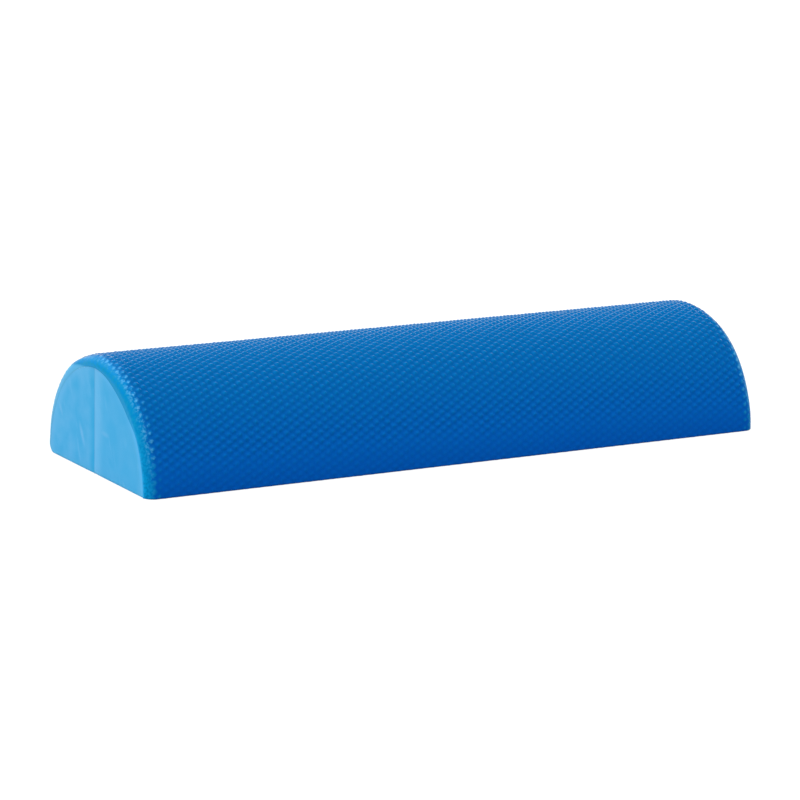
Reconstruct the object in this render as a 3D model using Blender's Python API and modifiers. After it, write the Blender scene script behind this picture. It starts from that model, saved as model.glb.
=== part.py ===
"""Half round foam roller: two foam quarters bonded along an upright line, under one wrapped skin.

It is made in the order of the real one. A round core is laid up from two blocks, a skin is
wrapped round it, and the finished round is sawn in half lengthwise. Metres, +Z up. X runs along
the roller, -Y is its front, and the origin is the centre of the flat base.
"""

import math

import bpy
from mathutils import Matrix

# The whole roller
LENGTH = 0.450
RADIUS = 0.075

# The skin. Its ends are rounded over, down to a narrow flat ring beside the core.
SKIN_THICKNESS = 0.0075
END_RING = 0.0003

# The upright bond between the two core blocks stands a little behind the centre.
BOND_THICKNESS = 0.0008
BOND_OFFSET = 0.0025

# Clearance between neighbours, and how far a cutter runs past what it cuts
FIT_GAP = 0.0003
CUT_OVERRUN = 0.010

# The full round has a corner of its outline at each edge of the base, so its sides are in fours.
ROUND_SIDES = 4 * 40
END_ROUND_STEPS = 6
FLAT_ANGLE = math.radians(30)
END_EDGE_ANGLE = math.radians(60)

BORE_RADIUS = RADIUS - SKIN_THICKNESS
CORE_RADIUS = BORE_RADIUS - FIT_GAP
END_ROUND = SKIN_THICKNESS - END_RING
CUTTER_END = LENGTH / 2 + CUT_OVERRUN
CUTTER_REACH = RADIUS + CUT_OVERRUN

# sRGB colours
SKIN_BLUE = (0.03, 0.39, 0.71)
CORE_BLUE = (0.31, 0.67, 0.88)
BOND_BLUE = (0.24, 0.61, 0.84)


def clear_scene():
    for obj in list(bpy.data.objects):
        bpy.data.objects.remove(obj, do_unlink=True)


def new_collection(name):
    collection = bpy.data.collections.new(name)
    bpy.context.scene.collection.children.link(collection)
    return collection


def linear(channel):
    """One sRGB channel as the linear value that a shader takes."""
    if channel <= 0.04045:
        return channel / 12.92
    return ((channel + 0.055) / 1.055) ** 2.4


def foam_material(name, srgb, roughness):
    material = bpy.data.materials.new(name)
    material.use_nodes = True
    shader = material.node_tree.nodes["Principled BSDF"]
    shader.inputs["Base Color"].default_value = (*(linear(channel) for channel in srgb), 1.0)
    shader.inputs["Roughness"].default_value = roughness
    shader.inputs["Metallic"].default_value = 0.0
    return material


def name_and_move(obj, name, collection):
    obj.name = name
    obj.data.name = name
    for other in list(obj.users_collection):
        other.objects.unlink(obj)
    collection.objects.link(obj)


def round_bar(name, collection, radius, length):
    """A full round bar along X, with its turn applied to its mesh."""
    bpy.ops.mesh.primitive_cylinder_add(vertices=ROUND_SIDES, radius=radius, depth=length)
    bar = bpy.context.object
    name_and_move(bar, name, collection)
    bar.data.transform(Matrix.Rotation(math.pi / 2, 4, "Y"))
    return bar


def box(name, collection, low, high):
    """A box between two corners, with its size in its mesh and its place in its location."""
    bpy.ops.mesh.primitive_cube_add(size=1.0)
    block = bpy.context.object
    name_and_move(block, name, collection)
    sides = [end - start for start, end in zip(low, high)]
    block.data.transform(Matrix.Diagonal((*sides, 1.0)))
    block.location = [(start + end) / 2 for start, end in zip(low, high)]
    return block


def as_cutter(obj):
    obj.hide_render = True
    obj.display_type = "WIRE"
    return obj


def boolean(obj, cutter, operation):
    modifier = obj.modifiers.new(f"{operation.lower()} {cutter.name}", "BOOLEAN")
    modifier.operation = operation
    modifier.object = cutter
    modifier.solver = "EXACT"


def shade_round(obj):
    obj.data.shade_smooth()
    obj.data.set_sharp_from_angle(angle=FLAT_ANGLE)


def make_saw_cut(cutters):
    """Everything under the flat base: the half that the lengthwise saw cut takes away."""
    low = (-CUTTER_END, -CUTTER_REACH, -CUTTER_REACH)
    high = (CUTTER_END, CUTTER_REACH, 0.0)
    return as_cutter(box("saw_cut", cutters, low, high))


def make_core(name, side, parts, cutters, saw_cut, material):
    """One foam quarter, on one side of the bond: side is -1 for the front and 1 for the rear."""
    bond_face = BOND_OFFSET + side * (BOND_THICKNESS / 2 + FIT_GAP)
    low_y, high_y = sorted((bond_face, -side * CUTTER_REACH))
    low = (-CUTTER_END, low_y, -CUTTER_REACH)
    high = (CUTTER_END, high_y, CUTTER_REACH)
    other_side = as_cutter(box(f"{name}_split", cutters, low, high))

    core = round_bar(name, parts, CORE_RADIUS, LENGTH)
    boolean(core, other_side, "DIFFERENCE")
    boolean(core, saw_cut, "DIFFERENCE")
    shade_round(core)
    core.data.materials.append(material)
    return core


def make_bond_line(parts, cutters, material):
    """The adhesive film: a thin upright sheet, trimmed along its top by the round of the core."""
    low = (-LENGTH / 2, BOND_OFFSET - BOND_THICKNESS / 2, 0.0)
    high = (LENGTH / 2, BOND_OFFSET + BOND_THICKNESS / 2, RADIUS)
    film = box("core_bond_line", parts, low, high)
    core_round = as_cutter(round_bar("core_round", cutters, CORE_RADIUS, 2 * CUTTER_END))
    boolean(film, core_round, "INTERSECT")
    film.data.materials.append(material)
    return film


def make_skin(parts, cutters, saw_cut, material):
    """The wrapped skin: a round with rounded ends, bored out for the core and sawn in half."""
    skin = round_bar("textured_skin", parts, RADIUS, LENGTH)
    rounding = skin.modifiers.new("rounded ends", "BEVEL")
    rounding.width = END_ROUND
    rounding.segments = END_ROUND_STEPS
    rounding.limit_method = "ANGLE"
    rounding.angle_limit = END_EDGE_ANGLE
    bore = as_cutter(round_bar("core_bore", cutters, BORE_RADIUS, 2 * CUTTER_END))
    boolean(skin, bore, "DIFFERENCE")
    boolean(skin, saw_cut, "DIFFERENCE")
    shade_round(skin)
    skin.data.materials.append(material)
    return skin


def make_roller():
    parts = new_collection("half_round_foam_roller")
    cutters = new_collection("cutters")
    skin_foam = foam_material("moulded EVA foam skin", SKIN_BLUE, roughness=0.55)
    core_foam = foam_material("cut EVA foam", CORE_BLUE, roughness=0.85)
    bond_film = foam_material("cured contact adhesive", BOND_BLUE, roughness=0.60)

    saw_cut = make_saw_cut(cutters)
    pieces = [
        make_core("front_core", -1, parts, cutters, saw_cut, core_foam),
        make_core("rear_core", 1, parts, cutters, saw_cut, core_foam),
        make_bond_line(parts, cutters, bond_film),
        make_skin(parts, cutters, saw_cut, skin_foam),
    ]

    base_centre = bpy.data.objects.new("base_centre", None)
    parts.objects.link(base_centre)
    for piece in pieces:
        piece.parent = base_centre


clear_scene()
make_roller()
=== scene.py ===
"""Looks of a half round foam roller: two sawn foam quarters, the glue between them and a bumped skin.

The sections follow the making of the roller, from its core outwards. The studio and the camera
come last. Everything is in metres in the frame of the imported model: X runs along the roller, -Y is
its front and the flat base lies on z = 0.
"""

import math

import bmesh
import bpy
from mathutils import Matrix, Vector, noise


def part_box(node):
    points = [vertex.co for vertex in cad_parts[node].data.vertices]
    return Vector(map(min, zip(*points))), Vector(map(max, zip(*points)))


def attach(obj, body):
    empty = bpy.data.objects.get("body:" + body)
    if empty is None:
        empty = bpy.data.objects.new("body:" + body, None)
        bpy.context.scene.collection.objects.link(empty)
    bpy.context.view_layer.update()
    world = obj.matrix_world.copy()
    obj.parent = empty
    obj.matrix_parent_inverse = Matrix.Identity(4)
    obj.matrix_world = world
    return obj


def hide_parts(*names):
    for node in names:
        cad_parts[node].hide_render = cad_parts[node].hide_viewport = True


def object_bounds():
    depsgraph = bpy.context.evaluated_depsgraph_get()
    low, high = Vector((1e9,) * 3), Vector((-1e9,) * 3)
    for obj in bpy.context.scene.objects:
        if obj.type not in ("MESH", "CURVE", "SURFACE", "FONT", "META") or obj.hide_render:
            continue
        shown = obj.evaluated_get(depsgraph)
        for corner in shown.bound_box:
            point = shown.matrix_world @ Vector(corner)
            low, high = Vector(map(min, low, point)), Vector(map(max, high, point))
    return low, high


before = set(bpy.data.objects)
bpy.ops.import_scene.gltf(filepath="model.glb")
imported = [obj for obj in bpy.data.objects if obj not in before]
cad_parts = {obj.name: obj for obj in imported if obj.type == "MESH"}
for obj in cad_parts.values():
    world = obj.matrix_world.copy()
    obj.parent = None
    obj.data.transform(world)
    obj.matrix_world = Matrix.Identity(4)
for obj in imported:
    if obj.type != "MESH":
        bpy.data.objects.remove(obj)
cad_low, cad_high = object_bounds()


# The core: two quarters of EVA block foam, sawn to shape and glued along their upright faces.
# They have no skin, so their ends and base show the cut cells. The glue draws the foam in to a
# shallow valley down each end, the lower edges are rubbed, and the rear foot corners ground off.

MM = 0.001
# The solids keep a fit gap to the skin. The foam fills nearly all of it, and pieces that touch in the
# real roller are a hair's breadth apart here.
FILLED_GAP = 0.25 * MM
TOUCHING_GAP = 0.02 * MM
HALF_LENGTH = cad_high.x
CORE_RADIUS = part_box("rear_core")[1].y + FILLED_GAP
GLUE_LOW_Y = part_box("core_bond_line")[0].y
GLUE_HIGH_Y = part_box("core_bond_line")[1].y

QUARTER_COLUMNS = 34
QUARTER_ROWS = 30
SAWN_EDGE_ANGLE = math.radians(40)
SAW_WAVE_DEPTH = 0.12 * MM
SAW_WAVE_SIZE = 24 * MM
# Depth of the valley at the glue, and how far from it the valley fades to about a third
FRONT_VALLEY = (0.40 * MM, 6.0 * MM)
REAR_VALLEY = (0.40 * MM, 4.0 * MM)
RUBBED_ROUND = 0.9 * MM
# Points this close are one point, and a cut passes through those this close to it.
SAME_POINT = 0.01 * MM
ON_THE_CUT = 0.02 * MM

# The ends are ground round through the skin's thickness, all but a thin ring beside the core.
SKIN_RADIUS = cad_high.z
END_RING = 0.3 * MM
END_ROUND = SKIN_RADIUS - CORE_RADIUS - END_RING
# The ground-off rear foot corner: its round as seen from the end, how far along the roller it goes,
# and the cuts across the pieces, by distance from the end, that let them follow it
CORNER_ROUND = 7.5 * MM
CORNER_REACH = 14 * MM
CORNER_CUTS = (2 * MM, 4.5 * MM, 7.5 * MM, 11 * MM, CORNER_REACH)
# The skin is thicker over the front shoulder, where it crowds the core: between two angles about the
# axis from the front, each with its ease, by so much, and less towards the axis by this power.
CROWDED = (math.radians(29), math.radians(94))
CROWDED_EASE = (math.radians(18), math.radians(38))
CROWDED_BY = 2.9 * MM
CROWDED_POWER = 4

# Sizes of the foam's pattern. Real cells are 0.3 mm across; they are drawn at 0.9 mm, the finest that
# the render can show.
CLOUD_SIZE = 16 * MM
DRAG_WIDTH = 5 * MM
DRAG_STRETCH = (10.0, 1.0, 4.5)
SAW_LEAN = math.radians(-20)
CELL_SIZE = 0.9 * MM
CELL_DEPTH = 0.15 * MM

BLOCK_BLUE = "#5BB5E8"
# Paler foam for the saw's drag marks, also used for painted light and painted sheen on the end face
PALE_FOAM_AND_PAINTED_LIGHT = "#72BFEE"
BLOCK_DEEP = "#46AEE4"
# Painted shade on the rear block's side of the valley at the glue
GROOVE_SHADE_BLUE = "#2CACE4"
# Painted highlight along the edge of the end face
BLOCK_EDGE_HIGHLIGHT = "#55B8F2"
SCUFF_PALE = "#84C4F0"

# Scuffs on the near end: place across and up, lean, half width, half length, strength and colour.
# How deep they would go keeps them off the far end.
SCUFF_DEPTH = 40 * MM
SCUFFS = (
    (20 * MM, 22 * MM, math.radians(28), 3.2 * MM, 11.0 * MM, 0.5, SCUFF_PALE),
    (52 * MM, 32 * MM, math.radians(38), 2.6 * MM, 7.5 * MM, 0.4, SCUFF_PALE),
    (-14 * MM, 28.5 * MM, math.radians(88), 2.4 * MM, 8.0 * MM, 0.3, SCUFF_PALE),
    (-22 * MM, 12 * MM, math.radians(55), 3.0 * MM, 7.0 * MM, 0.9, BLOCK_DEEP),
    (-23 * MM, 35 * MM, math.radians(60), 2.6 * MM, 5.5 * MM, 0.7, BLOCK_DEEP),
)


def linear_colour(hex_colour):
    """An sRGB hex colour as the linear RGBA that a shader takes."""
    channels = [int(hex_colour[start : start + 2], 16) / 255 for start in (1, 3, 5)]
    linear = [c / 12.92 if c <= 0.04045 else ((c + 0.055) / 1.055) ** 2.4 for c in channels]
    return (*linear, 1.0)


def add(tree, kind, inputs=(), **settings):
    """Adds a node with its settings. An input is a value, a socket, or a node for its first output."""
    node = tree.nodes.new(kind)
    for name, value in settings.items():
        setattr(node, name, value)
    sockets = [socket for socket in node.inputs if socket.enabled]
    for key, value in dict(inputs).items():
        target = sockets[key] if isinstance(key, int) else next(s for s in sockets if s.name == key)
        if isinstance(value, bpy.types.Node):
            value = next(socket for socket in value.outputs if socket.enabled)
        if isinstance(value, bpy.types.NodeSocket):
            tree.links.new(value, target)
        else:
            target.default_value = value
    return node


def new_finish(name):
    """An empty material and its tree."""
    material = bpy.data.materials.new(name)
    material.use_nodes = True
    material.node_tree.nodes.clear()
    return material, material.node_tree


def sawn_foam():
    """Cross-linked EVA block foam, cut by a band saw.

    The eye gets a soft, quite matt pale blue, cloudy where the cells are larger, with faint drag
    marks of the saw and a few scuffs. The front block is a shade deeper. Painted shade deepens the
    rear block beside the glue and painted light pales the front block beside it, the two sides of
    the shallow valley there. A painted highlight runs along the edge of the face, and a painted
    sheen round its rim, most of all at the rear.
    """
    material, tree = new_finish("sawn EVA block foam")
    place = add(tree, "ShaderNodeTexCoord").outputs["Object"]
    across = add(tree, "ShaderNodeSeparateXYZ", {"Vector": place}).outputs

    clouds = add(tree, "ShaderNodeTexNoise", {"Vector": place, "Scale": 1 / CLOUD_SIZE, "Detail": 4.0})
    cloud_share = add(
        tree, "ShaderNodeMapRange", {"Value": clouds, "From Min": 0.35, "From Max": 0.65}
    )
    colour = add(
        tree,
        "ShaderNodeMix",
        {"Factor": cloud_share, "A": linear_colour(BLOCK_DEEP), "B": linear_colour(BLOCK_BLUE)},
        data_type="RGBA",
    )

    # The drag marks are a few times as high as wide, and lean with the saw.
    leaning = add(
        tree,
        "ShaderNodeMapping",
        {"Vector": place, "Rotation": (SAW_LEAN, 0.0, 0.0), "Scale": DRAG_STRETCH},
        vector_type="TEXTURE",
    )
    drags = add(
        tree,
        "ShaderNodeTexNoise",
        {"Vector": leaning, "Scale": 1 / DRAG_WIDTH, "Detail": 1.0, "Distortion": 1.2},
    )
    on_face = add(
        tree, "ShaderNodeVectorMath", {0: place, 1: (0.0, 1.0, 1.0)}, operation="MULTIPLY"
    )
    from_axis = add(tree, "ShaderNodeVectorMath", {0: on_face}, operation="LENGTH").outputs["Value"]
    towards_rear = add(
        tree,
        "ShaderNodeMapRange",
        {"Value": across["Y"], "From Min": -30 * MM, "From Max": 50 * MM, "To Min": 0.35},
    )
    rear_block = add(
        tree, "ShaderNodeMath", {0: across["Y"], 1: GLUE_HIGH_Y}, operation="GREATER_THAN"
    )
    front_block = add(tree, "ShaderNodeMath", {0: 1.0, 1: rear_block}, operation="SUBTRACT")
    lower = add(
        tree,
        "ShaderNodeMapRange",
        {"Value": across["Z"], "From Min": 60 * MM, "From Max": 10 * MM, "To Min": 0.45},
    )
    rear_lower = add(tree, "ShaderNodeMath", {0: lower, 1: rear_block}, operation="MULTIPLY")
    towards_front = add(
        tree, "ShaderNodeMapRange", {"Value": across["Y"], "From Min": 20 * MM, "From Max": -5 * MM}
    )
    # Each tint grows from none to its most between two values of a measure. Most of them also fade
    # across the face or keep to one block.
    tints = (
        (across["Y"], 0.0, -12 * MM, 0.5, None, BLOCK_DEEP),
        (drags, 0.60, 0.82, 0.4, None, PALE_FOAM_AND_PAINTED_LIGHT),
        # painted highlight along the edge of the face, mostly on the front block
        (from_axis, CORE_RADIUS - 4.5 * MM, CORE_RADIUS - 1.5 * MM, 0.7, towards_front, BLOCK_EDGE_HIGHLIGHT),
        # painted sheen round the rim of the face, strongest at the rear
        (from_axis, CORE_RADIUS - 9 * MM, CORE_RADIUS, 0.5, towards_rear, PALE_FOAM_AND_PAINTED_LIGHT),
        # painted light on the front block's side of the valley at the glue
        (across["Y"], -14 * MM, 1 * MM, 0.6, front_block, PALE_FOAM_AND_PAINTED_LIGHT),
        # painted shade on the rear block's side of the valley at the glue, most low down
        (across["Y"], 11 * MM, 3.5 * MM, 0.8, rear_lower, GROOVE_SHADE_BLUE),
    )
    for measure, none_at, most_at, most, limit, tint in tints:
        share = add(
            tree,
            "ShaderNodeMapRange",
            {"Value": measure, "From Min": none_at, "From Max": most_at, "To Max": most},
            interpolation_type="SMOOTHSTEP",
        )
        if limit:
            share = add(tree, "ShaderNodeMath", {0: share, 1: limit}, operation="MULTIPLY")
        colour = add(
            tree,
            "ShaderNodeMix",
            {"Factor": share, "A": colour, "B": linear_colour(tint)},
            data_type="RGBA",
        )

    for side, up, lean, half_width, half_length, most, tint in SCUFFS:
        # From 0 in the middle of the scuff to 1 at its edge
        from_middle = add(
            tree,
            "ShaderNodeMapping",
            {
                "Vector": place,
                "Location": (-HALF_LENGTH, side, up),
                "Rotation": (-lean, 0.0, 0.0),
                "Scale": (SCUFF_DEPTH, half_width, half_length),
            },
            vector_type="TEXTURE",
        )
        reach = add(tree, "ShaderNodeVectorMath", {0: from_middle}, operation="LENGTH")
        share = add(
            tree,
            "ShaderNodeMapRange",
            {"Value": reach.outputs["Value"], "From Min": 1.0, "From Max": 0.1, "To Max": most},
            interpolation_type="SMOOTHSTEP",
        )
        colour = add(
            tree,
            "ShaderNodeMix",
            {"Factor": share, "A": colour, "B": linear_colour(tint)},
            data_type="RGBA",
        )

    cells = add(tree, "ShaderNodeTexNoise", {"Vector": place, "Scale": 1 / CELL_SIZE, "Detail": 2.0})
    grain = add(tree, "ShaderNodeBump", {"Height": cells, "Strength": 0.35, "Distance": CELL_DEPTH})
    shader = add(
        tree,
        "ShaderNodeBsdfPrincipled",
        {"Base Color": colour, "Roughness": 0.85, "Specular IOR Level": 0.15, "Normal": grain},
    )
    add(tree, "ShaderNodeOutputMaterial", {"Surface": shader})
    return material


def eased(value):
    """Smooth step from 0 to 1."""
    share = min(max(value, 0.0), 1.0)
    return share * share * (3 - 2 * share)


def rub_rear_corners(bm):
    """Takes off the rear foot corners of both ends, in the same way for every piece there."""
    for depth in CORNER_CUTS:
        for end in (-1, 1):
            cut_point = (end * (HALF_LENGTH - depth), 0.0, 0.0)
            everything = bm.verts[:] + bm.edges[:] + bm.faces[:]
            bmesh.ops.bisect_plane(
                bm, geom=everything, dist=ON_THE_CUT, plane_co=cut_point, plane_no=(1.0, 0.0, 0.0)
            )
    for vertex in bm.verts:
        depth = max(HALF_LENGTH - abs(vertex.co.x), 0.0)
        short = max(END_ROUND - depth, 0.0)
        outside = SKIN_RADIUS - END_ROUND + math.sqrt(END_ROUND**2 - short**2)
        out = vertex.co.y - (outside - CORNER_ROUND)
        down = CORNER_ROUND - vertex.co.z
        if out <= 0 or down <= 0:
            continue
        over = max(1 - CORNER_ROUND / math.hypot(out, down), 0.0)
        pull = over * eased(1 - depth / CORNER_REACH)
        vertex.co.y -= out * pull
        vertex.co.z += down * pull


def crowd_core(bm):
    """Draws in what lies inside the bore, most at the bore, where the skin is thicker."""
    for vertex in bm.verts:
        y, z = vertex.co.yz
        radius = math.hypot(y, z)
        at_axis = radius < 1 * MM
        outside_bore = radius > CORE_RADIUS + 2 * TOUCHING_GAP
        if at_axis or outside_bore:
            continue
        past_front = math.atan2(z, -y)
        share = eased((past_front - CROWDED[0]) / CROWDED_EASE[0])
        share *= eased((CROWDED[1] - past_front) / CROWDED_EASE[1])
        drawn = 1 - CROWDED_BY * share * (radius / CORE_RADIUS) ** CROWDED_POWER / radius
        vertex.co.y *= drawn
        vertex.co.z *= drawn


def foam_quarter(name, side, glued_y, valley, foam):
    """One quarter, from its glued face out to the skin. Side is -1 for the front and 1 for the rear."""
    width = CORE_RADIUS - side * glued_y
    valley_depth, valley_width = valley
    bm = bmesh.new()
    bmesh.ops.create_grid(bm, x_segments=QUARTER_COLUMNS, y_segments=QUARTER_ROWS, size=0.5)
    for vertex in bm.verts:
        across, up = vertex.co.x + 0.5, vertex.co.y + 0.5
        # Columns crowd at both sides, for the valley at the glue and the steep foot of the round,
        # and rows crowd at the lower edge and at the top.
        y = glued_y + side * width * eased(across)
        top = math.sqrt(max(CORE_RADIUS**2 - y**2, 0.0))
        vertex.co = (-HALF_LENGTH, y, eased(up) * top)
    near_face = bm.faces[:]
    length = Vector((2 * HALF_LENGTH, 0.0, 0.0))
    grown = bmesh.ops.extrude_face_region(bm, geom=near_face, use_keep_orig=True)["geom"]
    far_vertices = [part for part in grown if isinstance(part, bmesh.types.BMVert)]
    bmesh.ops.translate(bm, verts=far_vertices, vec=length)
    bmesh.ops.remove_doubles(bm, verts=bm.verts, dist=SAME_POINT)
    for vertex in bm.verts:
        end = math.copysign(1.0, vertex.co.x)
        spot = Vector((end, vertex.co.y / SAW_WAVE_SIZE, vertex.co.z / SAW_WAVE_SIZE))
        wave = SAW_WAVE_DEPTH * (0.5 + 0.5 * noise.noise(spot))
        from_glue = abs(vertex.co.y - glued_y)
        drawn_in = valley_depth * math.exp(-from_glue / valley_width)
        below_round = max(RUBBED_ROUND - vertex.co.z, 0.0)
        rubbed = RUBBED_ROUND - math.sqrt(RUBBED_ROUND**2 - below_round**2)
        vertex.co.x -= end * (wave + drawn_in + rubbed)
    crowd_core(bm)
    rub_rear_corners(bm)
    bmesh.ops.recalc_face_normals(bm, faces=bm.faces)
    mesh = bpy.data.meshes.new(name)
    bm.to_mesh(mesh)
    bm.free()
    mesh.materials.append(foam)
    mesh.shade_smooth()
    mesh.set_sharp_from_angle(angle=SAWN_EDGE_ANGLE)
    quarter = bpy.data.objects.new(name, mesh)
    bpy.context.scene.collection.objects.link(quarter)
    return quarter


block_foam = sawn_foam()
front_quarter = foam_quarter(
    "front_foam_quarter", -1, GLUE_LOW_Y - TOUCHING_GAP, FRONT_VALLEY, block_foam
)
rear_quarter = foam_quarter(
    "rear_foam_quarter", 1, GLUE_HIGH_Y + TOUCHING_GAP, REAR_VALLEY, block_foam
)
for quarter, cad_core in ((front_quarter, "front_core"), (rear_quarter, "rear_core")):
    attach(quarter, "root")
    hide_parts(cad_core)


# The glue: a film of contact adhesive that holds the quarters together.
# It is brushed on both faces and cures into a thin elastic sheet, whose uneven edge was wiped off
# level with the drawn-in ends of the foam.

GLUE_EDGE_DEPTH = 0.52 * MM
GLUE_EDGE_WAVE = 0.06 * MM
GLUE_WAVE_SIZE = 9 * MM
GLUE_STATIONS = 150
GLUE_ROWS = 24
GLUE_RIPPLE_SIZE = 5 * MM
GLUE_BLUE = "#4FB0E4"
GLUE_DARK = "#38A8E0"


def cured_glue():
    """Neoprene contact adhesive, cured clear over the blue foam.

    The eye gets a thin line, a shade deeper than the foam and a little smoother.
    """
    material, tree = new_finish("cured contact adhesive")
    place = add(tree, "ShaderNodeTexCoord").outputs["Object"]
    ripples = add(
        tree, "ShaderNodeTexNoise", {"Vector": place, "Scale": 1 / GLUE_RIPPLE_SIZE, "Detail": 1.0}
    )
    colour = add(
        tree,
        "ShaderNodeMix",
        {"Factor": ripples, "A": linear_colour(GLUE_DARK), "B": linear_colour(GLUE_BLUE)},
        data_type="RGBA",
    )
    shader = add(
        tree,
        "ShaderNodeBsdfPrincipled",
        {"Base Color": colour, "Roughness": 0.55, "Specular IOR Level": 0.3},
    )
    add(tree, "ShaderNodeOutputMaterial", {"Surface": shader})
    return material


glue_thickness = GLUE_HIGH_Y - GLUE_LOW_Y
glue_length = 2 * (HALF_LENGTH - GLUE_EDGE_DEPTH)
glue_height = math.sqrt(CORE_RADIUS**2 - GLUE_HIGH_Y**2) - TOUCHING_GAP
bm = bmesh.new()
bmesh.ops.create_grid(bm, x_segments=GLUE_STATIONS, y_segments=GLUE_ROWS, size=0.5)
for vertex in bm.verts:
    along, up = vertex.co.x, vertex.co.y + 0.5
    spot = Vector((along * glue_length, 0.0, up * glue_height)) / GLUE_WAVE_SIZE
    wave = GLUE_EDGE_WAVE * noise.noise(spot)
    lift = TOUCHING_GAP + abs(wave) * (1 - up)
    vertex.co = (along * (glue_length + 2 * wave), GLUE_LOW_Y, lift + up * (glue_height - lift))
crowd_core(bm)
mesh = bpy.data.meshes.new("glue_film")
bm.to_mesh(mesh)
bm.free()
mesh.materials.append(cured_glue())
glue_film = bpy.data.objects.new("glue_film", mesh)
bpy.context.scene.collection.objects.link(glue_film)
wall = glue_film.modifiers.new("film thickness", "SOLIDIFY")
wall.thickness = glue_thickness
wall.offset = -1.0
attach(glue_film, "root")
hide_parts("core_bond_line")


# The skin: a sheet of EVA foam, moulded against a bumped plate, so that it has a closed surface.
# It is wrapped round the core and fused on by heat, and the saw that halves the roller cuts its long
# edges. Its ends are ground round, which takes the bumps off from the top and opens bright cyan foam,
# partly its own colour and partly painted light.

# The bumps stand in staggered rows, a little askew on the roller. Their valleys lie inside the
# solid's round and their tops a little outside it. The lowest has this share of the full height.
BUMP_PITCH_ALONG = 8.0 * MM
BUMP_PITCH_ROUND = 5.24 * MM
BUMP_LEAN = math.radians(-4.1)
BUMP_HEIGHT = 1.45 * MM
BUMPS_PROUD = 0.43 * MM
LOWEST_BUMP = 0.75
BUMP_SEED = 7
# The dome falls as a cosine does towards its foot, and its mesh has rings at these distances.
BUMP_FOOT = 2.7 * MM
BUMP_RINGS = (0.9 * MM, 1.75 * MM)
# They are longer along the rows that climb towards the far end, and narrower across them.
BUMP_LONG = 1.20
BUMP_NARROW = 0.85
# Less of the relief is kept near both feet, by the run up from the base, and in a wide strip behind
# the top, by the run from the top towards the rear.
FOOT_KEPT = 0.30
FOOT_FADE = (10 * MM, 32 * MM)
STRIP_KEPT = 0.65
STRIP_FADE_IN = (-22 * MM, 12 * MM)
STRIP_FADE_OUT = (24 * MM, 80 * MM)

# The grinding, by the distance from the edge of the end face along the surface: it is down to the
# valleys until GROUND_FLAT, and passes over the tops from GROUND_FREE. Its edge wanders. The step
# from ground to moulded is softened over this share of the bump's height.
GROUND_FLAT = 8.0 * MM
GROUND_FREE = 15.0 * MM
GROUND_WANDER = 8.0 * MM
GROUND_WAVE_SIZE = 4 * MM
GROUND_SOFTNESS = 0.15
# A round is the arc of a circle at power 2, squarer above and flatter below. The shoulder lies
# between two angles about the axis, from the front, and the far top between two heights.
CIRCLE_POWER = 2.0
FAR_END_POWER = 2.15
FAR_TOP_POWER = 1.4
FAR_TOP = (63 * MM, 74 * MM)
SHOULDER_POWER = 5.5
SHOULDER = (math.radians(104), math.radians(172))
SHOULDER_EASE = math.radians(25)
# The long edges on the base are rubbed round too.
FOOT_ROUND = 1.2 * MM
SKIN_EDGE_ANGLE = math.radians(45)

# How the flat sheet is laid out: spare bumps for the lean and the trims, corners of neighbouring
# cells that are one point, and where it is scored so that it can bend, by the distance from an end
# and by the height over the base
SPARE_COLUMNS = 15
SPARE_ROWS = 9
SAME_CORNER = 0.05 * MM
END_SCORES = (END_RING, 1.2 * MM, 2.4 * MM, 3.6 * MM)
FOOT_SCORES = (-0.35 * MM, 0.0, 0.4 * MM, 0.8 * MM, 1.4 * MM)

straight_half = HALF_LENGTH - END_ROUND
sheet_half = straight_half + END_ROUND * math.pi / 2 + END_RING - TOUCHING_GAP
sheet_width = SKIN_RADIUS * math.pi
foot_margin = FOOT_ROUND * (math.pi / 2 - 1)

# Sizes of the skin's pattern. The mould's grain is 0.2 mm; it is drawn at 0.7 mm, the finest that the
# render can show. The mottle breaks up the painted glints, and counts this many times as much as the
# bumps.
MOTTLE_SIZE = 1.5 * MM
MOTTLE_WEIGHT = 4.2
MOULD_GRAIN_SIZE = 0.7 * MM
MOULD_GRAIN_DEPTH = 0.1 * MM

FOOT_BLUE = "#0059BC"
# Painted light: the blue of the skin higher up, where the round takes more light
TOP_BLUE = "#005D9C"
# Painted highlight on the bump tops
BUMP_HIGHLIGHT_BLUE = "#0078B4"
# Cyan of the ground ends: partly the ground foam's own colour, partly painted light
GROUND_CYAN = "#00A0E2"
# Painted shade: the ground ends are darker higher up
GROUND_HIGH = "#0082AC"
# Painted highlight beside the end face, low down
GROUND_EDGE_HIGHLIGHT = "#34B6F6"
GROUND_DEEP = "#0084C4"
# Painted shade where the round turns away from the end face
ROUND_SHADE_BLUE = "#0070B4"
# Painted glints on the cut bumps
FLECK_GLINT = "#68B4E0"
# Painted sheen on the rear edge of each end
REAR_EDGE_SHEEN = "#54AEDE"
SHEEN_PALE = "#FFFAF4"


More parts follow.
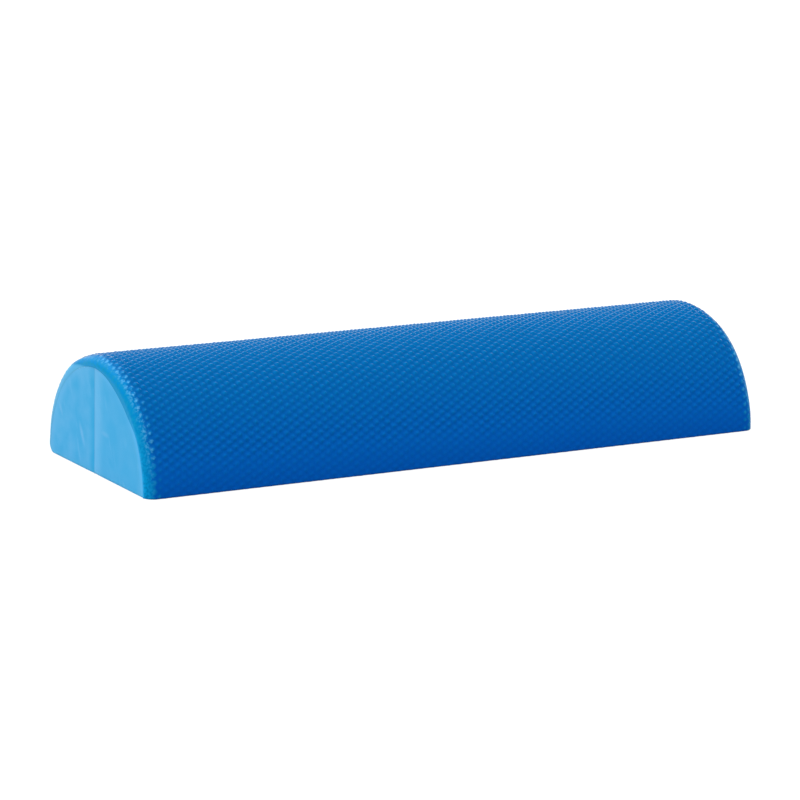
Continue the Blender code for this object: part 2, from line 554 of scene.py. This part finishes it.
def moulded_foam():
    """EVA foam with the closed skin that the hot mould gives it.

    The eye gets a deep blue, with a soft pale sheen where it turns away. It turns a little less
    violet higher up, which is painted light, and a painted highlight lightens the bumps. The ground
    ends are bright matt cyan, partly their own colour and partly painted light, with painted glints
    on the cut bumps, painted shade higher up and where the round turns away from the end face, and
    a painted highlight beside the end face low down. A painted sheen makes the rear edge of each end
    as pale as the core beside it.
    """
    material, tree = new_finish("moulded EVA foam skin")
    place = add(tree, "ShaderNodeTexCoord").outputs["Object"]
    across = add(tree, "ShaderNodeSeparateXYZ", {"Vector": place}).outputs
    crown, ground, edge_run = (
        add(tree, "ShaderNodeAttribute", attribute_name=name).outputs["Fac"]
        for name in ("bump_crown", "ground_share", "edge_run")
    )
    up = add(tree, "ShaderNodeMapRange", {"Value": across["Z"], "From Max": SKIN_RADIUS})
    # A painted highlight lightens the bump tops, faint at the foot and strong near the top, for the
    # light raking over the relief.
    bump_light_share = add(tree, "ShaderNodeMapRange", {"Value": up, "To Min": 0.1, "To Max": 0.7})
    painted_bump_light = add(tree, "ShaderNodeMath", {0: crown, 1: bump_light_share}, operation="MULTIPLY")
    # Painted light: the blue turns less violet higher up, where the round takes more light.
    moulded = linear_colour(FOOT_BLUE)
    for share, tint in ((up, TOP_BLUE), (painted_bump_light, BUMP_HIGHLIGHT_BLUE)):
        moulded = add(
            tree,
            "ShaderNodeMix",
            {"Factor": share, "A": moulded, "B": linear_colour(tint)},
            data_type="RGBA",
        )

    # The flecks are painted glints on the cut bumps, broken up by the same uneven grinding that mottles
    # the foam. They are kept to the part of the ring that is farthest from the end face, and are faint
    # low down.
    mottle = add(tree, "ShaderNodeTexNoise", {"Vector": place, "Scale": 1 / MOTTLE_SIZE, "Detail": 2.0})
    spotty = add(
        tree, "ShaderNodeMath", {0: mottle, 1: MOTTLE_WEIGHT, 2: crown}, operation="MULTIPLY_ADD"
    )
    painted_glint = add(
        tree,
        "ShaderNodeMapRange",
        {"Value": spotty, "From Min": 2.0, "From Max": 3.4, "To Max": 0.55},
        interpolation_type="SMOOTHSTEP",
    )
    for measure, least_at, most_at, least in (
        (edge_run, 4 * MM, 7.5 * MM, 0.08),
        (edge_run, 14.5 * MM, 9 * MM, 0.0),
        (across["Z"], 10 * MM, 42 * MM, 0.12),
    ):
        share = add(
            tree,
            "ShaderNodeMapRange",
            {"Value": measure, "From Min": least_at, "From Max": most_at, "To Min": least},
        )
        painted_glint = add(tree, "ShaderNodeMath", {0: painted_glint, 1: share}, operation="MULTIPLY")

    # The ground foam is mottled. Painted shade deepens it as the round turns away from the end face,
    # and low down a painted highlight brightens it beside the end face.
    mottled = add(tree, "ShaderNodeMapRange", {"Value": mottle, "From Min": 0.55, "From Max": 0.38})
    turning_shade = add(
        tree,
        "ShaderNodeMapRange",
        {"Value": edge_run, "From Min": 2 * MM, "From Max": 9.5 * MM, "To Max": 0.85},
    )
    edge_highlight = add(
        tree,
        "ShaderNodeMapRange",
        {"Value": edge_run, "From Min": 2.6 * MM, "From Max": -0.2 * MM, "To Max": 0.75},
        interpolation_type="SMOOTHSTEP",
    )
    low_down = add(
        tree,
        "ShaderNodeMapRange",
        {"Value": across["Z"], "From Min": 48 * MM, "From Max": 25 * MM, "To Min": 0.3},
    )
    edge_highlight = add(tree, "ShaderNodeMath", {0: edge_highlight, 1: low_down}, operation="MULTIPLY")
    # The ground ends' cyan is partly the foam's own colour and partly painted light.
    opened = linear_colour(GROUND_CYAN)
    for share, tint in (
        # painted shade, darker higher up on the ground ends
        (up, GROUND_HIGH),
        (mottled, GROUND_DEEP),
        # painted shade as the round turns away from the end face
        (turning_shade, ROUND_SHADE_BLUE),
        # painted highlight beside the end face, low down
        (edge_highlight, GROUND_EDGE_HIGHLIGHT),
        # painted glints
        (painted_glint, FLECK_GLINT),
    ):
        opened = add(
            tree,
            "ShaderNodeMix",
            {"Factor": share, "A": opened, "B": linear_colour(tint)},
            data_type="RGBA",
        )
    colour = add(
        tree,
        "ShaderNodeMix",
        {"Factor": ground, "A": moulded, "B": opened},
        data_type="RGBA",
    )
    # A painted sheen makes the edge pale. It begins at the top and widens down the rear side.
    sheen_reach = add(
        tree,
        "ShaderNodeMapRange",
        {
            "Value": across["Y"],
            "From Min": 12 * MM,
            "From Max": 45 * MM,
            "To Min": -1 * MM,
            "To Max": 7 * MM,
        },
    )
    inside_reach = add(
        tree, "ShaderNodeMath", {0: sheen_reach, 1: edge_run}, operation="SUBTRACT"
    )
    painted_rear_sheen = add(
        tree,
        "ShaderNodeMapRange",
        {"Value": inside_reach, "From Min": -0.7 * MM, "From Max": 0.7 * MM},
    )
    colour = add(
        tree,
        "ShaderNodeMix",
        {"Factor": painted_rear_sheen, "A": colour, "B": linear_colour(REAR_EDGE_SHEEN)},
        data_type="RGBA",
    )
    grain = add(
        tree, "ShaderNodeTexNoise", {"Vector": place, "Scale": 1 / MOULD_GRAIN_SIZE, "Detail": 2.0}
    )
    relief = add(
        tree, "ShaderNodeBump", {"Height": grain, "Strength": 0.3, "Distance": MOULD_GRAIN_DEPTH}
    )
    shader = add(
        tree,
        "ShaderNodeBsdfPrincipled",
        {
            "Base Color": colour,
            "Roughness": 0.45,
            "Specular IOR Level": 0.01,
            "Sheen Weight": 1.5,
            "Sheen Roughness": 0.22,
            "Sheen Tint": linear_colour(SHEEN_PALE),
            "Normal": relief,
        },
    )
    add(tree, "ShaderNodeOutputMaterial", {"Surface": shader})
    return material


def new_tree(name, sizes):
    """A geometry tree whose inputs have these names and default values, and its input node."""
    kinds = {int: "NodeSocketInt", float: "NodeSocketFloat"}
    tree = bpy.data.node_groups.new(name, "GeometryNodeTree")
    tree.interface.new_socket(name="Mesh", in_out="INPUT", socket_type="NodeSocketGeometry")
    tree.interface.new_socket(name="Finish", in_out="INPUT", socket_type="NodeSocketMaterial")
    for label, value in sizes.items():
        socket = tree.interface.new_socket(
            name=label, in_out="INPUT", socket_type=kinds[type(value)]
        )
        socket.default_value = value
    tree.interface.new_socket(name="Mesh", in_out="OUTPUT", socket_type="NodeSocketGeometry")
    return tree, add(tree, "NodeGroupInput").outputs


def bump_laying_tree(sizes):
    """Lays one bump cell over a staggered lattice and turns the whole sheet by the lean."""
    tree, given = new_tree("lay the bumps", sizes)
    half_pitch = add(
        tree, "ShaderNodeMath", {0: given["Pitch Along"], 1: 0.5}, operation="MULTIPLY"
    )
    columns_less_one = add(
        tree, "ShaderNodeMath", {0: given["Columns"], 1: 1}, operation="SUBTRACT"
    )
    rows_less_one = add(tree, "ShaderNodeMath", {0: given["Rows"], 1: 1}, operation="SUBTRACT")
    length = add(tree, "ShaderNodeMath", {0: columns_less_one, 1: half_pitch}, operation="MULTIPLY")
    width = add(
        tree, "ShaderNodeMath", {0: rows_less_one, 1: given["Pitch Round"]}, operation="MULTIPLY"
    )
    lattice = add(
        tree,
        "GeometryNodeMeshGrid",
        {
            "Size X": length,
            "Size Y": width,
            "Vertices X": given["Columns"],
            "Vertices Y": given["Rows"],
        },
    )

    # Every second column is moved by half a step. The lattice counts its points column by column.
    index = add(tree, "GeometryNodeInputIndex")
    column = add(tree, "ShaderNodeMath", {0: index, 1: given["Rows"]}, operation="DIVIDE")
    column = add(tree, "ShaderNodeMath", {0: column}, operation="FLOOR")
    odd_column = add(tree, "ShaderNodeMath", {0: column, 1: 2.0}, operation="MODULO")
    step = add(
        tree, "ShaderNodeMath", {0: given["Pitch Round"], 1: 0.5}, operation="MULTIPLY"
    )
    shift = add(tree, "ShaderNodeMath", {0: odd_column, 1: step}, operation="MULTIPLY")
    moved = add(tree, "ShaderNodeCombineXYZ", {"Y": shift})
    staggered = add(tree, "GeometryNodeSetPosition", {"Geometry": lattice, "Offset": moved})

    # No two bumps are quite as high.
    height = add(
        tree,
        "FunctionNodeRandomValue",
        {"Min": given["Lowest Bump"], "Max": 1.0, "Seed": given["Seed"]},
        data_type="FLOAT",
    )
    size = add(tree, "ShaderNodeCombineXYZ", {"X": 1.0, "Y": 1.0, "Z": height})
    bumps = add(
        tree,
        "GeometryNodeInstanceOnPoints",
        {"Points": staggered, "Instance": given["Mesh"], "Scale": size},
    )
    lean = add(tree, "ShaderNodeCombineXYZ", {"Z": given["Lean"]})
    leaning = add(tree, "GeometryNodeTransform", {"Geometry": bumps, "Rotation": lean})
    real = add(tree, "GeometryNodeRealizeInstances", {"Geometry": leaning})
    finished = add(
        tree, "GeometryNodeSetMaterial", {"Geometry": real, "Material": given["Finish"]}
    )
    add(tree, "NodeGroupOutput", {"Mesh": finished})
    return tree


def wrapping_tree(sizes):
    """Wraps the flat sheet over the half round, down its rounded ends and round its rubbed feet.

    The grinding cuts the bumps off near the ends. How far it goes is kept as an attribute for the
    finish, beside the height of the bump and the run from the edge of the end face.
    """
    tree, given = new_tree("wrap the sheet", sizes)
    position = add(tree, "GeometryNodeInputPosition")
    flat = add(tree, "ShaderNodeSeparateXYZ", {"Vector": position}).outputs

    # Along the roller: straight, round the end, and a little way down the end face
    run = add(tree, "ShaderNodeMath", {0: flat["X"]}, operation="ABSOLUTE")
    past = add(tree, "ShaderNodeMath", {0: run, 1: given["Straight Half"]}, operation="SUBTRACT")
    past = add(tree, "ShaderNodeMath", {0: past, 1: 0.0}, operation="MAXIMUM")
    turn = add(tree, "ShaderNodeMath", {0: past, 1: given["End Round"]}, operation="DIVIDE")
    turn = add(tree, "ShaderNodeMath", {0: turn, 1: math.pi / 2}, operation="MINIMUM")
    arc = add(tree, "ShaderNodeMath", {0: given["End Round"], 1: math.pi / 2}, operation="MULTIPLY")
    down_face = add(tree, "ShaderNodeMath", {0: past, 1: arc}, operation="SUBTRACT")
    down_face = add(tree, "ShaderNodeMath", {0: down_face, 1: 0.0}, operation="MAXIMUM")
    edge_run = add(tree, "ShaderNodeMath", {0: given["Sheet Half"], 1: run}, operation="SUBTRACT")

    # Round it: up from the front edge on the base, over the top and down to the rear edge
    half_width = add(
        tree, "ShaderNodeMath", {0: given["Radius"], 1: math.pi / 2}, operation="MULTIPLY"
    )
    from_top = add(tree, "ShaderNodeMath", {0: flat["Y"], 1: half_width}, operation="SUBTRACT")
    off_top = add(tree, "ShaderNodeMath", {0: from_top}, operation="ABSOLUTE")
    from_base = add(tree, "ShaderNodeMath", {0: half_width, 1: off_top}, operation="SUBTRACT")

    # What the grinding leaves of the bump's height
    on_plane = add(tree, "ShaderNodeCombineXYZ", {"X": flat["X"], "Y": flat["Y"]})
    per_wave = add(
        tree, "ShaderNodeMath", {0: 1.0, 1: given["Ground Wave Size"]}, operation="DIVIDE"
    )
    uneven = add(tree, "ShaderNodeTexNoise", {"Vector": on_plane, "Scale": per_wave, "Detail": 2.0})
    wander = add(tree, "ShaderNodeMath", {0: uneven, 1: 0.5}, operation="SUBTRACT")
    wander = add(
        tree, "ShaderNodeMath", {0: wander, 1: given["Ground Wander"]}, operation="MULTIPLY"
    )
    ground_run = add(tree, "ShaderNodeMath", {0: edge_run, 1: wander}, operation="ADD")
    cut_height = add(
        tree,
        "ShaderNodeMapRange",
        {
            "Value": ground_run,
            "From Min": given["Ground Flat"],
            "From Max": given["Ground Free"],
            "To Min": 0.0,
            "To Max": given["Bump Height"],
        },
        clamp=False,
    )
    cut_away = add(tree, "ShaderNodeMath", {0: flat["Z"], 1: cut_height}, operation="SUBTRACT")
    cut_ease = add(
        tree,
        "ShaderNodeMath",
        {0: given["Bump Height"], 1: given["Ground Softness"]},
        operation="MULTIPLY",
    )
    not_cut = add(tree, "ShaderNodeMath", {0: cut_ease, 1: -1.0}, operation="MULTIPLY")
    left = add(tree, "ShaderNodeMath", {0: flat["Z"], 1: cut_height}, operation="MINIMUM")
    left = add(tree, "ShaderNodeMath", {0: left, 1: 0.0}, operation="MAXIMUM")

    # Each of these goes smoothly from 0 to 1 between two values of a measure.
    ground, near_foot, past_strip_start, before_strip_end, off_ring = (
        add(
            tree,
            "ShaderNodeMapRange",
            {"Value": measure, "From Min": none_at, "From Max": full_at},
            interpolation_type="SMOOTHSTEP",
        )
        for measure, none_at, full_at in (
            (cut_away, not_cut, cut_ease),
            (from_base, given["Foot Fade End"], given["Foot Fade Start"]),
            (from_top, given["Strip Start"], given["Strip Full"]),
            (from_top, given["Strip End"], given["Strip Full End"]),
            (edge_run, 0.0, given["Ground Flat"]),
        )
    )

    # The relief is drawn in to the round near the feet and out to the tops of the bumps in the strip.
    # It dies out over the ground part, so that the sheet's ends lie on the round.
    in_strip = add(
        tree, "ShaderNodeMath", {0: past_strip_start, 1: before_strip_end}, operation="MULTIPLY"
    )
    lift = add(tree, "ShaderNodeMath", {0: left, 1: given["Valley Depth"]}, operation="SUBTRACT")
    bump_tops = add(
        tree,
        "ShaderNodeMath",
        {0: given["Bump Height"], 1: given["Valley Depth"]},
        operation="SUBTRACT",
    )
    for share, kept, level in (
        (near_foot, given["Foot Kept"], 0.0),
        (in_strip, given["Strip Kept"], bump_tops),
    ):
        lost = add(tree, "ShaderNodeMath", {0: 1.0, 1: kept}, operation="SUBTRACT")
        lost = add(tree, "ShaderNodeMath", {0: share, 1: lost}, operation="MULTIPLY")
        to_level = add(tree, "ShaderNodeMath", {0: level, 1: lift}, operation="SUBTRACT")
        lift = add(
            tree, "ShaderNodeMath", {0: to_level, 1: lost, 2: lift}, operation="MULTIPLY_ADD"
        )
    lift = add(tree, "ShaderNodeMath", {0: lift, 1: off_ring}, operation="MULTIPLY")

    # The place along the roller, and the distance from its axis
    reach = add(tree, "ShaderNodeMath", {0: given["End Round"], 1: lift}, operation="ADD")
    straight = add(tree, "ShaderNodeMath", {0: run, 1: given["Straight Half"]}, operation="MINIMUM")
    sine = add(tree, "ShaderNodeMath", {0: turn}, operation="SINE")
    x_size = add(
        tree, "ShaderNodeMath", {0: sine, 1: reach, 2: straight}, operation="MULTIPLY_ADD"
    )
    end = add(tree, "ShaderNodeMath", {0: flat["X"]}, operation="SIGN")
    x = add(tree, "ShaderNodeMath", {0: x_size, 1: end}, operation="MULTIPLY")
    centre_radius = add(
        tree, "ShaderNodeMath", {0: given["Radius"], 1: given["End Round"]}, operation="SUBTRACT"
    )
    lowered = add(tree, "ShaderNodeMath", {0: centre_radius, 1: down_face}, operation="SUBTRACT")
    cosine = add(tree, "ShaderNodeMath", {0: turn}, operation="COSINE")
    radius = add(
        tree, "ShaderNodeMath", {0: cosine, 1: reach, 2: lowered}, operation="MULTIPLY_ADD"
    )

    # The rubbed foot: the last of the sheet turns inwards under itself, as far as there is room.
    below = add(tree, "ShaderNodeMath", {0: given["Foot Round"], 1: from_base}, operation="SUBTRACT")
    below = add(tree, "ShaderNodeMath", {0: below, 1: 0.0}, operation="MAXIMUM")
    foot_turn = add(tree, "ShaderNodeMath", {0: below, 1: given["Foot Round"]}, operation="DIVIDE")
    foot_turn = add(tree, "ShaderNodeMath", {0: foot_turn, 1: math.pi / 2}, operation="MINIMUM")
    foot_cosine = add(tree, "ShaderNodeMath", {0: foot_turn}, operation="COSINE")
    inward = add(tree, "ShaderNodeMath", {0: 1.0, 1: foot_cosine}, operation="SUBTRACT")
    inward = add(tree, "ShaderNodeMath", {0: inward, 1: given["Foot Round"]}, operation="MULTIPLY")
    room = add(tree, "ShaderNodeMath", {0: radius, 1: centre_radius}, operation="SUBTRACT")
    room = add(tree, "ShaderNodeMath", {0: room, 1: 0.0}, operation="MAXIMUM")
    inward = add(tree, "ShaderNodeMath", {0: inward, 1: room}, operation="MINIMUM")
    foot_sine = add(tree, "ShaderNodeMath", {0: foot_turn}, operation="SINE")
    upright = add(tree, "ShaderNodeMath", {0: 1.0, 1: foot_sine}, operation="SUBTRACT")

    # The place round the axis
    angle = add(tree, "ShaderNodeMath", {0: from_base, 1: given["Foot Round"]}, operation="MAXIMUM")
    angle = add(tree, "ShaderNodeMath", {0: angle, 1: given["Radius"]}, operation="DIVIDE")
    angle_sine = add(tree, "ShaderNodeMath", {0: angle}, operation="SINE")
    z = add(tree, "ShaderNodeMath", {0: angle_sine, 1: radius}, operation="MULTIPLY")
    z = add(tree, "ShaderNodeMath", {0: z, 1: upright}, operation="MULTIPLY")
    angle_cosine = add(tree, "ShaderNodeMath", {0: angle}, operation="COSINE")
    outward = add(tree, "ShaderNodeMath", {0: angle_cosine, 1: radius}, operation="MULTIPLY")
    outward = add(tree, "ShaderNodeMath", {0: outward, 1: inward}, operation="SUBTRACT")
    side = add(tree, "ShaderNodeMath", {0: from_top}, operation="SIGN")
    y = add(tree, "ShaderNodeMath", {0: outward, 1: side}, operation="MULTIPLY")

    crown = add(tree, "ShaderNodeMath", {0: flat["Z"], 1: given["Bump Height"]}, operation="DIVIDE")
    marked = given["Mesh"]
    for label, value in (
        ("bump_crown", crown),
        ("ground_share", ground),
        ("edge_run", edge_run),
    ):
        marked = add(
            tree,
            "GeometryNodeStoreNamedAttribute",
            {"Geometry": marked, "Name": label, "Value": value},
            data_type="FLOAT",
            domain="POINT",
        )
    place = add(tree, "ShaderNodeCombineXYZ", {"X": x, "Y": y, "Z": z})
    wrapped = add(tree, "GeometryNodeSetPosition", {"Geometry": marked, "Position": place})
    real = add(tree, "GeometryNodeRealizeInstances", {"Geometry": wrapped})
    finished = add(
        tree, "GeometryNodeSetMaterial", {"Geometry": real, "Material": given["Finish"]}
    )
    add(tree, "NodeGroupOutput", {"Mesh": finished})
    return tree


def made_by_tree(obj, tree, sizes, finish):
    """Gives the object the plain mesh that the tree makes of it."""
    modifier = obj.modifiers.new(tree.name, "NODES")
    modifier.node_group = tree
    for socket in tree.interface.items_tree:
        if socket.in_out == "INPUT" and socket.name in sizes:
            modifier[socket.identifier] = sizes[socket.name]
        elif socket.name == "Finish":
            modifier[socket.identifier] = finish
    graph = bpy.context.evaluated_depsgraph_get()
    mesh = bpy.data.meshes.new_from_object(obj.evaluated_get(graph), depsgraph=graph)
    obj.modifiers.remove(modifier)
    obj.data = mesh


def bump_cell(name):
    """One domed bump, longer along its row, on the cell that is nearer to it than to any other."""
    half_along, half_round = BUMP_PITCH_ALONG / 2, BUMP_PITCH_ROUND / 2
    # Corners of the cell: each is as far from this bump as from the two neighbours beside it.
    inner = (half_along**2 - half_round**2) / (2 * half_along)
    outer = half_along - inner
    corners = [(outer, 0.0), (inner, half_round), (-inner, half_round)]
    corners += [(-x, -y) for x, y in corners]
    row = Vector((half_along, half_round)).normalized()
    bm = bmesh.new()
    top = bm.verts.new((0.0, 0.0, BUMP_HEIGHT))
    rings = []
    for ring_radius in (*BUMP_RINGS, None):
        ring = []
        for corner in corners:
            spot = Vector(corner)
            rise = 0.0
            if ring_radius:
                rise = 0.5 + 0.5 * math.cos(math.pi * ring_radius / BUMP_FOOT)
                spot *= ring_radius / spot.length
                along = spot.dot(row) * row
                spot = along * BUMP_LONG + (spot - along) * BUMP_NARROW
            ring.append(bm.verts.new((spot.x, spot.y, BUMP_HEIGHT * rise)))
        rings.append(ring)
    for corner in range(len(corners)):
        other = (corner + 1) % len(corners)
        bm.faces.new((top, rings[0][corner], rings[0][other]))
        for inside, outside in zip(rings, rings[1:]):
            bm.faces.new((inside[corner], outside[corner], outside[other], inside[other]))
    mesh = bpy.data.meshes.new(name)
    bm.to_mesh(mesh)
    bm.free()
    return mesh


laying_sizes = {
    "Columns": 2 * math.ceil(sheet_half / BUMP_PITCH_ALONG * 2) + SPARE_COLUMNS,
    "Rows": math.ceil(sheet_width / BUMP_PITCH_ROUND) + SPARE_ROWS,
    "Pitch Along": BUMP_PITCH_ALONG,
    "Pitch Round": BUMP_PITCH_ROUND,
    "Lean": BUMP_LEAN,
    "Lowest Bump": LOWEST_BUMP,
    "Seed": BUMP_SEED,
}
wrapping_sizes = {
    "Sheet Half": sheet_half,
    "Straight Half": straight_half,
    "End Round": END_ROUND,
    "Radius": SKIN_RADIUS,
    "Bump Height": BUMP_HEIGHT,
    "Valley Depth": BUMP_HEIGHT - BUMPS_PROUD,
    "Ground Flat": GROUND_FLAT,
    "Ground Free": GROUND_FREE,
    "Ground Wander": GROUND_WANDER,
    "Ground Wave Size": GROUND_WAVE_SIZE,
    "Ground Softness": GROUND_SOFTNESS,
    "Foot Round": FOOT_ROUND,
    "Foot Kept": FOOT_KEPT,
    "Foot Fade Start": FOOT_FADE[0],
    "Foot Fade End": FOOT_FADE[1],
    "Strip Kept": STRIP_KEPT,
    "Strip Start": STRIP_FADE_IN[0],
    "Strip Full": STRIP_FADE_IN[1],
    "Strip Full End": STRIP_FADE_OUT[0],
    "Strip End": STRIP_FADE_OUT[1],
}


def fill_out_rounds(bm):
    """Squares up the rounding at the near rear shoulder and the far end, and flattens the far top."""
    for vertex in bm.verts:
        x, y, z = vertex.co
        outward = 1 - (HALF_LENGTH - abs(x)) / END_ROUND
        upward = 1 - (SKIN_RADIUS - math.hypot(y, z)) / END_ROUND
        if outward <= 0 or upward <= 0:
            continue
        past_front = math.atan2(z, -y)
        shoulder = eased((past_front - SHOULDER[0]) / SHOULDER_EASE)
        shoulder *= eased((SHOULDER[1] - past_front) / SHOULDER_EASE)
        if x < 0:
            power = CIRCLE_POWER + (SHOULDER_POWER - CIRCLE_POWER) * shoulder
        else:
            high = eased((z - FAR_TOP[0]) / (FAR_TOP[1] - FAR_TOP[0]))
            power = FAR_END_POWER + (FAR_TOP_POWER - FAR_END_POWER) * high
        grown = math.hypot(outward, upward) / (outward**power + upward**power) ** (1 / power)
        vertex.co.x += math.copysign(outward * (grown - 1) * END_ROUND, x)
        out = 1 + upward * (grown - 1) * END_ROUND / math.hypot(y, z)
        vertex.co.y *= out
        vertex.co.z *= out


skin_foam = moulded_foam()
skin = bpy.data.objects.new("bumped_skin", bump_cell("bumped_skin"))
bpy.context.scene.collection.objects.link(skin)
made_by_tree(skin, bump_laying_tree(laying_sizes), laying_sizes, skin_foam)

# The sheet is trimmed while it lies flat, to its length and to the half round's width with what
# curls under at the feet. It is also scored where it will bend most.
bm = bmesh.new()
bm.from_mesh(skin.data)
bmesh.ops.remove_doubles(bm, verts=bm.verts, dist=SAME_CORNER)
bmesh.ops.translate(bm, verts=bm.verts, vec=(0.0, sheet_width / 2, 0.0))
trims = (
    ((sheet_half, 0.0, 0.0), (1.0, 0.0, 0.0)),
    ((-sheet_half, 0.0, 0.0), (-1.0, 0.0, 0.0)),
    ((0.0, sheet_width + foot_margin, 0.0), (0.0, 1.0, 0.0)),
    ((0.0, -foot_margin, 0.0), (0.0, -1.0, 0.0)),
)
scores = []
for run in END_SCORES:
    for end in (-1, 1):
        scores.append(((end * (sheet_half - run), 0.0, 0.0), (1.0, 0.0, 0.0)))
for up in FOOT_SCORES:
    scores.append(((0.0, up, 0.0), (0.0, 1.0, 0.0)))
    scores.append(((0.0, sheet_width - up, 0.0), (0.0, 1.0, 0.0)))
for cut_point, outward in trims + tuple(scores):
    everything = bm.verts[:] + bm.edges[:] + bm.faces[:]
    bmesh.ops.bisect_plane(
        bm,
        geom=everything,
        dist=ON_THE_CUT,
        plane_co=cut_point,
        plane_no=outward,
        clear_outer=(cut_point, outward) in trims,
    )
bm.to_mesh(skin.data)
bm.free()
made_by_tree(skin, wrapping_tree(wrapping_sizes), wrapping_sizes, skin_foam)

# Wrapped, it gets its inner face, from one end's edge to the other's, and its two sawn edges.
bm = bmesh.new()
bm.from_mesh(skin.data)
bmesh.ops.remove_doubles(bm, verts=bm.verts, dist=SAME_POINT)
on_end_arc = [
    edge
    for edge in bm.edges
    if edge.is_boundary
    and all(HALF_LENGTH - abs(vertex.co.x) < SAME_POINT for vertex in edge.verts)
    and any(vertex.co.z > SAME_POINT for vertex in edge.verts)
]
bmesh.ops.bridge_loops(bm, edges=on_end_arc)
bmesh.ops.holes_fill(bm, edges=[edge for edge in bm.edges if edge.is_boundary])
fill_out_rounds(bm)
crowd_core(bm)
rub_rear_corners(bm)
bmesh.ops.recalc_face_normals(bm, faces=bm.faces)
bm.to_mesh(skin.data)
bm.free()
skin.data.shade_smooth()
skin.data.set_sharp_from_angle(angle=SKIN_EDGE_ANGLE)
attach(skin, "root")
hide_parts("textured_skin")


# The studio: a plain pale floor in a softly lit room, with broad lights overhead, in front, behind
# and at each end. The one behind rakes over the bumps.

ROOM_LEVEL = 0.20
FLOOR_HALF_SIDE = 6.0
PAPER_GREY = "#A0A0A0"
FLOOR_SHOWN_WHITE = 0.85
FLOOR_SHOWN_SHADE = 0.22


def shown_ray(tree):
    """1 for the rays that show the background: to the camera, in gloss and through glass."""
    rays = add(tree, "ShaderNodeLightPath").outputs
    seen = add(
        tree,
        "ShaderNodeMath",
        {0: rays["Is Camera Ray"], 1: rays["Is Glossy Ray"]},
        operation="MAXIMUM",
    )
    return add(
        tree, "ShaderNodeMath", {0: seen, 1: rays["Is Transmission Ray"]}, operation="MAXIMUM"
    )


def studio_floor_finish():
    """Matt pale grey paper, seen lifted to white with the object's faint shadow on it."""
    material, tree = new_finish("matt pale grey paper")
    paper = add(tree, "ShaderNodeBsdfDiffuse", {"Color": linear_colour(PAPER_GREY)})
    glow = add(tree, "ShaderNodeEmission", {"Strength": FLOOR_SHOWN_WHITE})
    shade = (FLOOR_SHOWN_SHADE, FLOOR_SHOWN_SHADE, FLOOR_SHOWN_SHADE, 1.0)
    shaded = add(tree, "ShaderNodeBsdfDiffuse", {"Color": shade})
    lifted = add(tree, "ShaderNodeAddShader", {0: glow, 1: shaded})
    shown = add(tree, "ShaderNodeMixShader", {0: shown_ray(tree), 1: paper, 2: lifted})
    add(tree, "ShaderNodeOutputMaterial", {"Surface": shown})
    return material


bm = bmesh.new()
bmesh.ops.create_grid(bm, x_segments=1, y_segments=1, size=FLOOR_HALF_SIDE)
mesh = bpy.data.meshes.new("floor")
bm.to_mesh(mesh)
bm.free()
mesh.materials.append(studio_floor_finish())
floor = bpy.data.objects.new("floor", mesh)
bpy.context.scene.collection.objects.link(floor)

world = bpy.data.worlds.new("white room")
bpy.context.scene.world = world
world.use_nodes = True
room = world.node_tree
room.nodes.clear()
brightness = add(
    room, "ShaderNodeMix", {"Factor": shown_ray(room), "A": ROOM_LEVEL, "B": 1.0}, data_type="FLOAT"
)
walls = add(
    room, "ShaderNodeBackground", {"Color": (1.0, 1.0, 1.0, 1.0), "Strength": brightness}
)
add(room, "ShaderNodeOutputWorld", {"Surface": walls})

# Each light's direction from the object, its level on a surface that faces it, and how wide it looks.
# A sun lamp of strength pi lights such a surface to level 1.
LAMPS = {
    "overhead": ((0.0, 0.0, 1.0), 0.45, math.radians(50)),
    "front above": ((0.02, -0.68, 0.7), 0.46, math.radians(60)),
    "rear above": ((-0.25, 0.7, 0.66), 0.74, math.radians(30)),
    "left": ((-1.0, 0.05, 0.12), 0.43, math.radians(40)),
    "right": ((1.0, 0.0, 0.1), 0.20, math.radians(50)),
}
for name, (direction, level, width) in LAMPS.items():
    lamp = bpy.data.lights.new(name, "SUN")
    lamp.energy = level * math.pi
    lamp.angle = width
    light = bpy.data.objects.new(name, lamp)
    light.rotation_euler = Vector(direction).to_track_quat("Z", "Y").to_euler()
    bpy.context.scene.collection.objects.link(light)


# The camera stands far off to the front left with a long lens, and leans by a degree.

VIEW_AZIMUTH = math.radians(-30.217)
VIEW_ELEVATION = math.radians(12.503)
VIEW_LEAN = math.radians(1.197)
VIEW_DISTANCE = 2.27444
VIEW_AIM = Vector((-5.98, 0.79, 26.98)) * MM
LENS_MM = 156.81
SENSOR_MM = 36.0

turned = (
    Matrix.Rotation(VIEW_AZIMUTH, 4, "Z")
    @ Matrix.Rotation(math.pi / 2 - VIEW_ELEVATION, 4, "X")
    @ Matrix.Rotation(VIEW_LEAN, 4, "Z")
)
lens = bpy.data.cameras.new("camera")
lens.lens = LENS_MM
lens.sensor_width = SENSOR_MM
camera = bpy.data.objects.new("camera", lens)
camera.matrix_world = Matrix.Translation(VIEW_AIM) @ turned @ Matrix.Translation((0, 0, VIEW_DISTANCE))
bpy.context.scene.collection.objects.link(camera)
bpy.context.scene.camera = camera
bpy.context.scene.view_settings.view_transform = "Standard"
